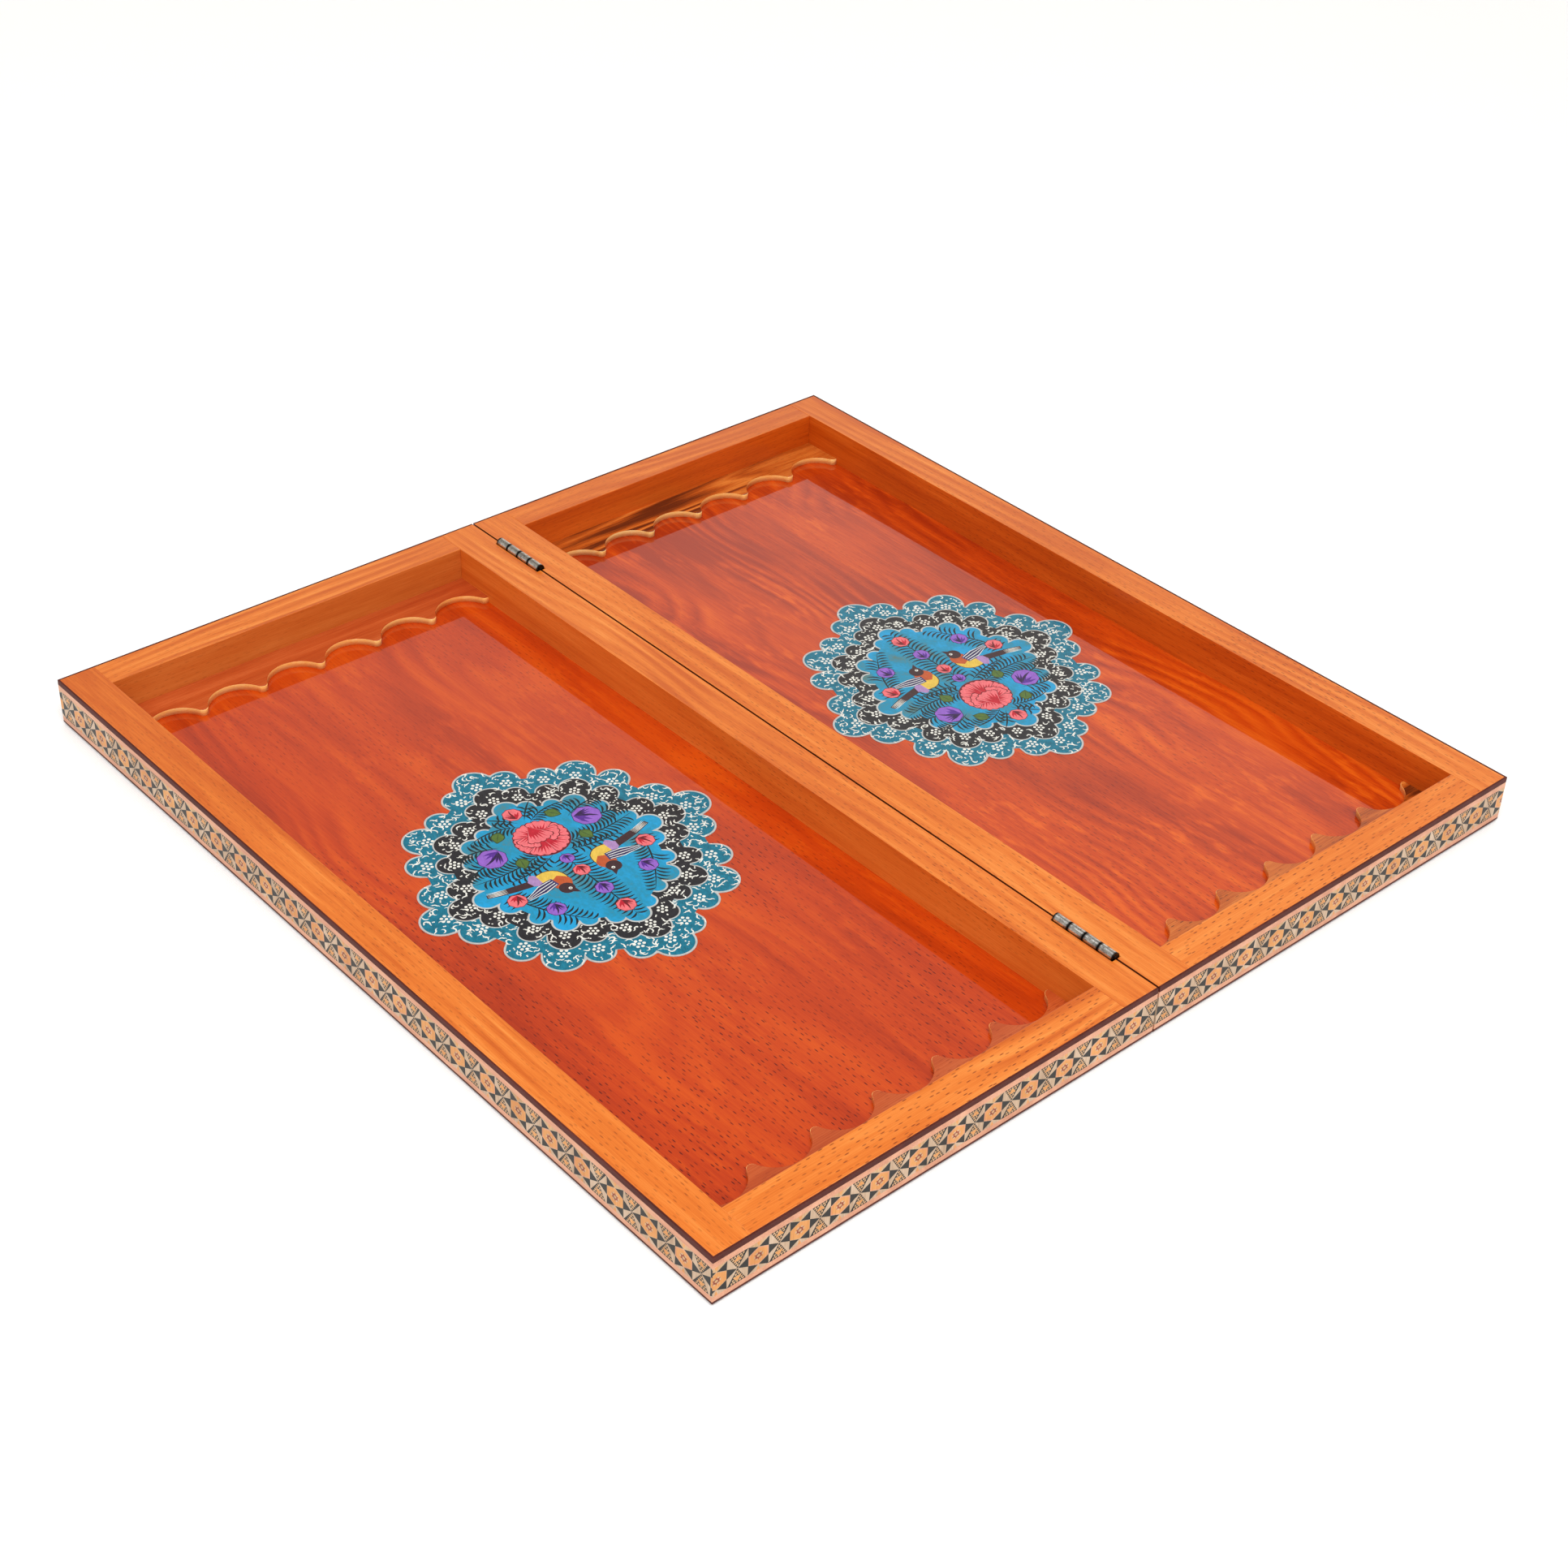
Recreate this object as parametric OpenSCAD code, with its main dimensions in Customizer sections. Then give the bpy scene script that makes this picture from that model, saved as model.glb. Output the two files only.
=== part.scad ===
// Folding backgammon board, lying open: two shallow trays joined by a pair of butt hinges.
// Millimetres. +X across the fold, +Y along the fold, +Z up, origin under the middle of the fold.

/* [Board] */
// length of each half along the fold
board_l = 500; // [480:1:560]
// width of each half across the fold
half_w = 248; // [225:1:280]
// height of each half
board_h = 26; // [24:0.5:34]
// clear gap between the two halves at the fold
fold_gap = 1; // [0.8:0.1:1.6]

/* [Frame] */
// width of the outer long rail, edge veneer included
outer_rail_w = 19.6; // [16:0.2:24]
// width of the two short rails, edge veneer included
end_rail_w = 18.5; // [16:0.5:24]
// width of the long rail that carries the hinges
hinge_rail_w = 20.6; // [18:0.2:26]
// radius of the dowels in the corner joints
dowel_r = 3; // [2:0.5:3.5]
// length of each corner dowel
dowel_l = 28; // [20:1:28]

/* [Floor] */
// thickness of the panel under each half
back_t = 2.4; // [2:0.1:3]
// thickness of the playing field panel
field_t = 2.4; // [1.5:0.1:3]
// thickness of the painted medallion layer
medallion_t = 0.3; // [0.2:0.05:0.6]
// half size of the medallion across the fold
medallion_rx = 81.7; // [70:0.1:84]
// half size of the medallion along the fold
medallion_ry = 86.2; // [70:0.1:95]

/* [Point strips] */
// scallops along each strip
arc_count = 6; // [4:1:8]
// thickness of each scalloped strip
strip_t = 3.4; // [2.5:0.1:5]
// plain length left at each end of the row of scallops
arc_margin = 1.2; // [0.5:0.1:3]
// scallop radius over scallop pitch
arc_ratio = 0.467; // [0.46:0.001:0.48]
// tip radius over scallop pitch
nose_ratio = 0.076; // [0.06:0.002:0.09]
// wood left between a scallop and the end rail
strip_web = 13.4; // [9:0.2:18]

/* [Edge veneers] */
// thickness of the veneers on the outside faces
skin_t = 0.9; // [0.6:0.1:1.4]
// height of the dark strip at the top edge
upper_edging_h = 2.8; // [2:0.1:3.5]
// height of the pale strip above the inlay
upper_stringing_h = 3; // [2:0.1:3.5]
// height of the pale strip below the inlay
lower_stringing_h = 2.6; // [2:0.1:3.5]
// width of the dark edging strips around the underside
lower_edging_w = 4; // [3:0.5:6]
// rounding along the bottom outer edge
lower_edging_r = 1.8; // [1:0.1:2]

/* [Hinges] */
// length of each hinge
hinge_l = 36; // [30:1:44]
// distance from the middle of the board to each hinge
hinge_y = 206.5; // [150:0.5:212]
// height of the hinge axis above the rail tops
axis_rise = 0.35; // [0.3:0.05:0.8]
// outside radius of the hinge barrel
barrel_r = 2.4; // [2.2:0.1:3]
// radius of the hinge pin
pin_r = 1; // [0.8:0.1:1.2]
// radial play of the pin in the right leaf
pin_play = 0.04; // [0.02:0.01:0.1]
// thickness of each leaf
leaf_t = 1; // [0.8:0.1:1.2]
// depth of each leaf below the rail top
leaf_depth = 13; // [11:0.5:16]
// shank radius of the hinge screws
screw_r = 1.2; // [1:0.1:1.3]
// length of the hinge screws
screw_l = 13; // [10:0.5:15]

/* [Hidden] */
$fn = 96;
BEECH = [0.90, 0.55, 0.28];
FIELD = [0.78, 0.32, 0.14];
STRIP = [0.72, 0.38, 0.16];
DARK = [0.24, 0.14, 0.15];
PALE = [0.84, 0.64, 0.52];
INLAY = [0.62, 0.52, 0.38];
PAINT = [0.10, 0.52, 0.64];
BACK = [0.45, 0.24, 0.12];
STEEL = [0.55, 0.54, 0.52];
BIRCH = [0.85, 0.72, 0.52];

// plan of one half: the left one, lying on the -X side of the fold
x_fold = -fold_gap / 2;
x_out = x_fold - half_w;
y_end = board_l / 2;
x_core = x_out + skin_t;
y_core = y_end - skin_t;
x_in = x_out + outer_rail_w;
x_hinge = x_fold - hinge_rail_w;
y_in = y_end - end_rail_w;
inner_w = x_hinge - x_in;
x_mid = (x_in + x_hinge) / 2;

// levels
z_field = back_t + field_t;
z_strip = z_field + strip_t;
z_inlay = back_t + lower_stringing_h;
z_upper = board_h - upper_edging_h;
z_pale = z_upper - upper_stringing_h;

// scallops
arc_pitch = (inner_w - 2 * arc_margin) / arc_count;
arc_r = arc_ratio * arc_pitch;
nose_r = nose_ratio * arc_pitch;
nose_drop = sqrt(pow(arc_r + nose_r, 2) - pow(arc_pitch / 2, 2));
arc_reach = strip_web + arc_r;
nose_reach = arc_reach - nose_drop;
tangent_reach = arc_reach - nose_drop * arc_r / (arc_r + nose_r);
nose_bite = 0.15;

// medallion outline: lobes of the first quadrant, each [x, y, radius]
// as shares of the two half sizes
lobes = [
    [0.000, 0.880, 0.125],
    [0.165, 0.810, 0.095],
    [0.365, 0.705, 0.092],
    [0.545, 0.625, 0.120],
    [0.680, 0.445, 0.098],
    [0.770, 0.185, 0.110],
    [0.875, 0.000, 0.125]
];

// hinges
axis_z = board_h + axis_rise;
knuckles = 4;
knuckle_l = hinge_l / knuckles;
knuckle_gap = 0.3;
barrel_play = 0.35;
notch_play = 0.5;
notch_end = 0.6;
recess_play = 0.2;
pin_proud = 0.3;
screw_dy = 11;
screw_z = board_h - 8;
screw_head_r = 2.4;
screw_head_h = 1.6;
slot_w = 0.6;
slot_depth = 0.5;
dowel_z = [9.5, 19.5];
eps = 1;

// ---- helpers ----

module slab(x0, x1, y0, y1, z0, z1) {
    translate([x0, y0, z0])
        cube([x1 - x0, y1 - y0, z1 - z0]);
}

module rod_x(x0, x1, y, z, r) {
    translate([x0, y, z])
        rotate([0, 90, 0])
            cylinder(r = r, h = x1 - x0);
}

module rod_y(y0, y1, z, r) {
    translate([0, y1, z])
        rotate([90, 0, 0])
            cylinder(r = r, h = y1 - y0);
}

module to_right() {
    mirror([1, 0, 0])
        children();
}

module to_rear() {
    mirror([0, 1, 0])
        children();
}

// ---- one half of the board, drawn on the left ----

// dowels of the two front corners, then the same at the rear
module dowels_shape() {
    y = y_core - (end_rail_w - skin_t) / 2;
    for (x = [x_in, x_hinge])
        for (side = [-1, 1])
            for (z = dowel_z)
                rod_x(x - dowel_l / 2, x + dowel_l / 2, side * y, z, dowel_r);
}

module outer_rail_shape() {
    difference() {
        slab(x_core, x_in, -y_core, y_core, back_t, board_h);
        dowels_shape();
    }
}

module hinge_rail_shape() {
    difference() {
        slab(x_hinge, x_fold, -y_core, y_core, back_t, board_h);
        dowels_shape();
        for (y = [-hinge_y, hinge_y])
            translate([0, y, 0])
                hinge_pocket();
        screws_shape();
    }
}

// the bed cut into a hinge rail: a shallow recess for the leaf, a trough for the barrel
module hinge_pocket() {
    half = hinge_l / 2;
    slab(x_fold - leaf_t, x_fold + eps, -half - recess_play, half + recess_play,
         board_h - leaf_depth - recess_play, board_h + eps);
    rod_y(-half - notch_end, half + notch_end, axis_z, barrel_r + notch_play);
}

module front_rail_shape() {
    difference() {
        slab(x_in, x_hinge, -y_core, -y_in, back_t, board_h);
        dowels_shape();
    }
}

module field_shape() {
    slab(x_in, x_hinge, -y_in, y_in, back_t, z_field);
}

module back_shape() {
    slab(x_out + lower_edging_w, x_fold, -y_end + lower_edging_w, y_end - lower_edging_w,
         0, back_t);
}

// scalloped strip against the front rail: concave arcs with rounded tips between them
module front_strip_shape() {
    first = x_mid - arc_pitch * arc_count / 2;
    translate([0, -y_in, z_field])
        intersection() {
            slab(x_in, x_hinge, 0, arc_reach, 0, strip_t);
            union() {
                difference() {
                    slab(x_in, x_hinge, 0, tangent_reach, 0, strip_t);
                    for (i = [0 : arc_count - 1])
                        translate([first + (i + 0.5) * arc_pitch, arc_reach, -eps])
                            cylinder(r = arc_r, h = strip_t + 2 * eps);
                }
                for (i = [0 : arc_count])
                    translate([first + i * arc_pitch, nose_reach, 0])
                        cylinder(r = nose_r + nose_bite, h = strip_t);
            }
        }
}

module medallion_shape() {
    reach = (medallion_rx + medallion_ry) / 2;
    core = [for (q = lobes) [q[0] * medallion_rx, q[1] * medallion_ry]];
    quarter = concat([[0, 0]], core);
    translate([x_mid, 0, z_field])
        for (sx = [-1, 1])
            for (sy = [-1, 1])
                quadrant(sx, sy) {
                    linear_extrude(height = medallion_t)
                        polygon(quarter);
                    for (q = lobes)
                        translate([q[0] * medallion_rx, q[1] * medallion_ry, 0])
                            cylinder(r = q[2] * reach, h = medallion_t);
                }
}

module quadrant(sx, sy) {
    mirror([sx < 0 ? 1 : 0, 0, 0])
        mirror([0, sy < 0 ? 1 : 0, 0])
            children();
}

// ---- veneers on the three outside faces, mitred at the corners ----

// plan of the front veneer, w wide, with its outer end cut at 45 degrees
module front_plan(w) {
    polygon([
        [x_out, -y_end],
        [x_fold, -y_end],
        [x_fold, -y_end + w],
        [x_out + w, -y_end + w]
    ]);
}

// plan of the outer veneer, w wide, mitred at both ends
module outer_plan(w) {
    polygon([
        [x_out, -y_end],
        [x_out + w, -y_end + w],
        [x_out + w, y_end - w],
        [x_out, y_end]
    ]);
}

module front_skin(z0, z1) {
    translate([0, 0, z0])
        linear_extrude(height = z1 - z0)
            front_plan(skin_t);
}

module outer_skin(z0, z1) {
    translate([0, 0, z0])
        linear_extrude(height = z1 - z0)
            outer_plan(skin_t);
}

module skin_ring(z0, z1) {
    front_skin(z0, z1);
    to_rear()
        front_skin(z0, z1);
    outer_skin(z0, z1);
}

// section of the bottom edging: a bar with its outer bottom edge rounded
module edging_section() {
    translate([lower_edging_r, 0])
        square([lower_edging_w - lower_edging_r, back_t]);
    translate([0, lower_edging_r])
        square([lower_edging_r, back_t - lower_edging_r]);
    intersection() {
        translate([lower_edging_r, lower_edging_r])
            circle(r = lower_edging_r);
        square([lower_edging_r, lower_edging_r]);
    }
}

module front_edging() {
    intersection() {
        translate([x_out, -y_end, 0])
            rotate([90, 0, 90])
                linear_extrude(height = half_w)
                    edging_section();
        linear_extrude(height = back_t)
            front_plan(lower_edging_w);
    }
}

module outer_edging() {
    intersection() {
        translate([x_out, y_end, 0])
            rotate([90, 0, 0])
                linear_extrude(height = board_l)
                    edging_section();
        linear_extrude(height = back_t)
            outer_plan(lower_edging_w);
    }
}

// ---- hinges ----

// leaf on the left of the fold, centred on y = 0; it carries knuckles 0 and 2
module leaf_shape(bore_r) {
    half = hinge_l / 2;
    difference() {
        union() {
            difference() {
                slab(x_fold - leaf_t, x_fold, -half, half, board_h - leaf_depth, axis_z);
                for (k = [1 : 2 : knuckles - 1])
                    rod_y(-half + k * knuckle_l - knuckle_gap / 2,
                          -half + (k + 1) * knuckle_l + knuckle_gap / 2,
                          axis_z, barrel_r + barrel_play);
            }
            for (k = [0 : 2 : knuckles - 1])
                rod_y(-half + k * knuckle_l + (k == 0 ? 0 : knuckle_gap / 2),
                      -half + (k + 1) * knuckle_l - knuckle_gap / 2,
                      axis_z, barrel_r);
        }
        rod_y(-half - eps, half + eps, axis_z, bore_r);
        for (y = [-screw_dy, screw_dy])
            screw_body(y);
    }
}

module left_leaf(y) {
    translate([0, y, 0])
        leaf_shape(pin_r);
}

module right_leaf(y) {
    translate([0, y, 0])
        rotate([0, 0, 180])
            leaf_shape(pin_r + pin_play);
}

module pin_shape(y) {
    half = hinge_l / 2 + pin_proud;
    translate([0, y, 0])
        rod_y(-half, half, axis_z, pin_r);
}

// countersunk screw driven along -X, its head flush with the leaf
module screw_body(y) {
    translate([x_fold, y, screw_z])
        rotate([0, -90, 0]) {
            cylinder(r1 = screw_head_r, r2 = screw_r, h = screw_head_h);
            cylinder(r = screw_r, h = screw_l);
        }
}

module screws_shape() {
    for (y = [-hinge_y, hinge_y])
        for (dy = [-screw_dy, screw_dy])
            screw_body(y + dy);
}

module slotted_screws() {
    difference() {
        screws_shape();
        for (y = [-hinge_y, hinge_y])
            for (dy = [-screw_dy, screw_dy])
                slab(x_fold - slot_depth, x_fold + eps,
                     y + dy - screw_head_r - eps, y + dy + screw_head_r + eps,
                     screw_z - slot_w / 2, screw_z + slot_w / 2);
    }
}

// ---- left half ----

module left_outer_rail() {
    color(BEECH)
        outer_rail_shape();
}

module left_hinge_rail() {
    color(BEECH)
        hinge_rail_shape();
}

module left_front_rail() {
    color(BEECH)
        front_rail_shape();
}

module left_rear_rail() {
    color(BEECH)
        to_rear()
            front_rail_shape();
}

module left_field_panel() {
    color(FIELD)
        field_shape();
}

module left_back_panel() {
    color(BACK)
        back_shape();
}

module left_front_point_strip() {
    color(STRIP)
        front_strip_shape();
}

module left_rear_point_strip() {
    color(STRIP)
        to_rear()
            front_strip_shape();
}

module left_medallion() {
    color(PAINT)
        medallion_shape();
}

module left_outer_inlay() {
    color(INLAY)
        outer_skin(z_inlay, z_pale);
}

module left_front_inlay() {
    color(INLAY)
        front_skin(z_inlay, z_pale);
}

module left_rear_inlay() {
    color(INLAY)
        to_rear()
            front_skin(z_inlay, z_pale);
}

module left_upper_stringing() {
    color(PALE)
        skin_ring(z_pale, z_upper);
}

module left_lower_stringing() {
    color(PALE)
        skin_ring(back_t, z_inlay);
}

module left_upper_edging() {
    color(DARK)
        skin_ring(z_upper, board_h);
}

module left_outer_lower_edging() {
    color(DARK)
        outer_edging();
}

module left_front_lower_edging() {
    color(DARK)
        front_edging();
}

module left_rear_lower_edging() {
    color(DARK)
        to_rear()
            front_edging();
}

module left_corner_dowels() {
    color(BIRCH)
        dowels_shape();
}

module left_hinge_screws() {
    color(STEEL)
        slotted_screws();
}

// ---- right half, the mirror image ----

module right_outer_rail() {
    color(BEECH)
        to_right()
            outer_rail_shape();
}

module right_hinge_rail() {
    color(BEECH)
        to_right()
            hinge_rail_shape();
}

module right_front_rail() {
    color(BEECH)
        to_right()
            front_rail_shape();
}

module right_rear_rail() {
    color(BEECH)
        to_right()
            to_rear()
                front_rail_shape();
}

module right_field_panel() {
    color(FIELD)
        to_right()
            field_shape();
}

module right_back_panel() {
    color(BACK)
        to_right()
            back_shape();
}

module right_front_point_strip() {
    color(STRIP)
        to_right()
            front_strip_shape();
}

module right_rear_point_strip() {
    color(STRIP)
        to_right()
            to_rear()
                front_strip_shape();
}

module right_medallion() {
    color(PAINT)
        to_right()
            medallion_shape();
}

module right_outer_inlay() {
    color(INLAY)
        to_right()
            outer_skin(z_inlay, z_pale);
}

module right_front_inlay() {
    color(INLAY)
        to_right()
            front_skin(z_inlay, z_pale);
}

module right_rear_inlay() {
    color(INLAY)
        to_right()
            to_rear()
                front_skin(z_inlay, z_pale);
}

module right_upper_stringing() {
    color(PALE)
        to_right()
            skin_ring(z_pale, z_upper);
}

module right_lower_stringing() {
    color(PALE)
        to_right()
            skin_ring(back_t, z_inlay);
}

module right_upper_edging() {
    color(DARK)
        to_right()
            skin_ring(z_upper, board_h);
}

module right_outer_lower_edging() {
    color(DARK)
        to_right()
            outer_edging();
}

module right_front_lower_edging() {
    color(DARK)
        to_right()
            front_edging();
}

module right_rear_lower_edging() {
    color(DARK)
        to_right()
            to_rear()
                front_edging();
}

module right_corner_dowels() {
    color(BIRCH)
        to_right()
            dowels_shape();
}

module right_hinge_screws() {
    color(STEEL)
        to_right()
            slotted_screws();
}

// ---- hinge parts ----

module front_hinge_left_leaf() {
    color(STEEL)
        left_leaf(-hinge_y);
}

module front_hinge_right_leaf() {
    color(STEEL)
        right_leaf(-hinge_y);
}

module front_hinge_pin() {
    color(STEEL)
        pin_shape(-hinge_y);
}

module rear_hinge_left_leaf() {
    color(STEEL)
        left_leaf(hinge_y);
}

module rear_hinge_right_leaf() {
    color(STEEL)
        right_leaf(hinge_y);
}

module rear_hinge_pin() {
    color(STEEL)
        pin_shape(hinge_y);
}

left_outer_rail();
left_hinge_rail();
left_front_rail();
left_rear_rail();
left_field_panel();
left_back_panel();
left_front_point_strip();
left_rear_point_strip();
left_medallion();
left_outer_inlay();
left_front_inlay();
left_rear_inlay();
left_upper_stringing();
left_lower_stringing();
left_upper_edging();
left_outer_lower_edging();
left_front_lower_edging();
left_rear_lower_edging();
left_corner_dowels();
left_hinge_screws();
right_outer_rail();
right_hinge_rail();
right_front_rail();
right_rear_rail();
right_field_panel();
right_back_panel();
right_front_point_strip();
right_rear_point_strip();
right_medallion();
right_outer_inlay();
right_front_inlay();
right_rear_inlay();
right_upper_stringing();
right_lower_stringing();
right_upper_edging();
right_outer_lower_edging();
right_front_lower_edging();
right_rear_lower_edging();
right_corner_dowels();
right_hinge_screws();
front_hinge_left_leaf();
front_hinge_right_leaf();
front_hinge_pin();
rear_hinge_left_leaf();
rear_hinge_right_leaf();
rear_hinge_pin();
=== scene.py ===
import math
import random

import bmesh
import bpy
from mathutils import Matrix, Vector
from mathutils.geometry import delaunay_2d_cdt


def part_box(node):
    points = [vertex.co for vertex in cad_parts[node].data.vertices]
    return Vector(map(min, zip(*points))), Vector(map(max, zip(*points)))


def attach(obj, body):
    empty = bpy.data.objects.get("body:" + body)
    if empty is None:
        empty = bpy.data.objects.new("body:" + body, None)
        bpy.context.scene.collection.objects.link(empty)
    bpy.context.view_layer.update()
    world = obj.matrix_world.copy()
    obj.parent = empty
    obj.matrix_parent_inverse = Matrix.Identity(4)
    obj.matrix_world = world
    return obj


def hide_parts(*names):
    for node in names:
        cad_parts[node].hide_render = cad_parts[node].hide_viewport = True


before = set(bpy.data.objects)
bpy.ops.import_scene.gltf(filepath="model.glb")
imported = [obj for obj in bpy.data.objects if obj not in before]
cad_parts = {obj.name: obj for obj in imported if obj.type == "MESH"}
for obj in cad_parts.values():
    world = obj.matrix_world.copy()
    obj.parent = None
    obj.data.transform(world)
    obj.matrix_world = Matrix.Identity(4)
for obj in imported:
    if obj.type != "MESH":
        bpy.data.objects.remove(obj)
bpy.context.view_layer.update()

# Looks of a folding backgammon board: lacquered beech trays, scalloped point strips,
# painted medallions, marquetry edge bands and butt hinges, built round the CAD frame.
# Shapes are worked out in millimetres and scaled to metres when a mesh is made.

MM = 0.001
HALVES = {"left": -1, "right": 1}

# ---- camera, from the board's corners ----
LENS_MM = 59.22
SENSOR_MM = 36.0
AZIMUTH = -42.623
ELEVATION = 35.665
ROLL = 2.396
DISTANCE = 1.2574
TARGET = Vector((-0.0027, -0.0111, 0.0))

# ---- small helpers ----

def box_mm(node):
    """A node's box in the frame, in millimetres."""
    lo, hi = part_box(node)
    return lo / MM, hi / MM


def rgb(r, g, b):
    """Linear colour of an 8-bit sRGB one."""
    def linear(v):
        v /= 255.0
        return v / 12.92 if v <= 0.04045 else ((v + 0.055) / 1.055) ** 2.4
    return (linear(r), linear(g), linear(b), 1.0)


# ---- materials ----

class Graph:
    """Adds nodes to one material and joins them."""

    def __init__(self, tree):
        self.tree = tree

    def add(self, kind, sockets=(), **settings):
        """A new node, with values or links for its inputs."""
        node = self.tree.nodes.new(kind)
        for key, value in settings.items():
            setattr(node, key, value)
        for key, value in dict(sockets).items():
            if isinstance(value, bpy.types.NodeSocket):
                self.tree.links.new(value, node.inputs[key])
            else:
                node.inputs[key].default_value = value
        return node

    def link(self, socket, shader, name):
        self.tree.links.new(socket, shader.inputs[name])

    def coords(self, across, along, axis, turn=0.0, shift=(0.0, 0.0, 0.0)):
        """Object coordinates in units of a feature's size in mm, long along one axis."""
        scale = [1 / (across * MM)] * 3
        scale[axis] = 1 / (along * MM)
        place = self.add("ShaderNodeTexCoord").outputs["Object"]
        if turn:
            place = self.add("ShaderNodeMapping", {
                "Vector": place, "Rotation": (0, 0, turn)}).outputs[0]
        return self.add("ShaderNodeMapping", {
            "Vector": place, "Scale": scale, "Location": shift}).outputs[0]

    def place(self):
        """Object coordinates as three values, in metres."""
        return self.add("ShaderNodeSeparateXYZ", {
            0: self.add("ShaderNodeTexCoord").outputs["Object"]}).outputs

    def plan(self, axis, across, along, shift=(0.0, 0.0, 0.0)):
        """Flat coordinates in units of a feature's size: across the grain, whichever way
        the face is turned, and along it."""
        place = self.place()
        side = self.math("ADD", place[1 - axis], place[2])
        side = self.math("MULTIPLY_ADD", side, 1 / (across * MM), shift[0])
        run = self.math("MULTIPLY_ADD", place[axis], 1 / (along * MM), shift[1])
        return self.add("ShaderNodeCombineXYZ", {0: side, 1: run}).outputs[0]

    def flecks(self, axis, spacing, size, shift):
        """Lens-shaped dashes along the grain: up to 1 inside one, 0 outside."""
        place = self.plan(axis, *spacing, shift)
        cells = self.add("ShaderNodeTexVoronoi", {
            "Vector": place, "Scale": 1.0, "Randomness": 0.9}, voronoi_dimensions="2D")
        offset = self.add("ShaderNodeVectorMath", {
            0: place, 1: cells.outputs["Position"]}, operation="SUBTRACT").outputs[0]
        offset = self.add("ShaderNodeVectorMath", {
            0: offset, 1: (2 * spacing[0] / size[0], 2 * spacing[1] / size[1], 0)},
            operation="MULTIPLY").outputs[0]
        far = self.add("ShaderNodeVectorMath", {0: offset}, operation="LENGTH").outputs["Value"]
        dash = self.fade(far, 0.6, 1.1, 1.0, 0.0)
        vary = self.add("ShaderNodeSeparateColor", {0: cells.outputs["Color"]}).outputs[0]
        return self.math("MULTIPLY", dash, self.fade(vary, 0.0, 0.7, 0.45, 1.0))

    def noise(self, coords, detail=3.0, rough=0.55, distortion=0.0):
        return self.add("ShaderNodeTexNoise", {
            "Vector": coords, "Scale": 1.0, "Detail": detail, "Roughness": rough,
            "Distortion": distortion}).outputs["Fac"]

    def math(self, kind, a, b=0.0, c=0.0):
        node = self.add("ShaderNodeMath", operation=kind)
        for socket, value in zip(node.inputs, (a, b, c)):
            if isinstance(value, bpy.types.NodeSocket):
                self.tree.links.new(value, socket)
            else:
                socket.default_value = value
        return node.outputs[0]

    def fade(self, value, low, high, to_low=0.0, to_high=1.0):
        return self.add("ShaderNodeMapRange", {
            "Value": value, "From Min": low, "From Max": high,
            "To Min": to_low, "To Max": to_high}).outputs[0]

    def ramp(self, fac, stops):
        node = self.add("ShaderNodeValToRGB", {"Fac": fac})
        ramp = node.color_ramp
        while len(ramp.elements) < len(stops):
            ramp.elements.new(0.5)
        for element, (place, colour) in zip(ramp.elements, stops):
            element.position = place
            element.color = colour
        return node.outputs[0]

    def mix(self, fac, a, b, blend="MIX"):
        node = self.add("ShaderNodeMix", data_type="RGBA", blend_type=blend)
        for socket, value in ((node.inputs[0], fac), (node.inputs[6], a), (node.inputs[7], b)):
            if isinstance(value, bpy.types.NodeSocket):
                self.tree.links.new(value, socket)
            else:
                socket.default_value = value
        return node.outputs[2]

    def bump(self, height, strength, depth_mm):
        return self.add("ShaderNodeBump", {
            "Height": height, "Strength": strength, "Distance": depth_mm * MM}).outputs[0]


def surface(name, **sockets):
    """A Principled material with its plain sockets set, and what adds nodes to it."""
    mat = bpy.data.materials.new(name)
    mat.use_nodes = True
    shader = mat.node_tree.nodes["Principled BSDF"]
    for key, value in sockets.items():
        shader.inputs[key.replace("_", " ")].default_value = value
    return mat, Graph(mat.node_tree), shader


LACQUER = {"Coat_Weight": 1.0, "Coat_Roughness": 0.03, "Coat_IOR": 1.5,
           "Specular_IOR_Level": 0.08}
SATIN = {"Coat_Weight": 0.42, "Coat_Roughness": 0.18, "Coat_IOR": 1.5,
         "Specular_IOR_Level": 0.15}
WAXED = {"Coat_Weight": 0.22, "Coat_Roughness": 0.2, "Coat_IOR": 1.5,
         "Specular_IOR_Level": 0.15}
PAINTED = dict(LACQUER, Coat_Weight=0.7)
BARE = {"Coat_Weight": 0.0, "Specular_IOR_Level": 0.1}


FLECK_SPACING = (2.7, 5.8)
FLECK_SIZE = (0.66, 2.7)


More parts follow.
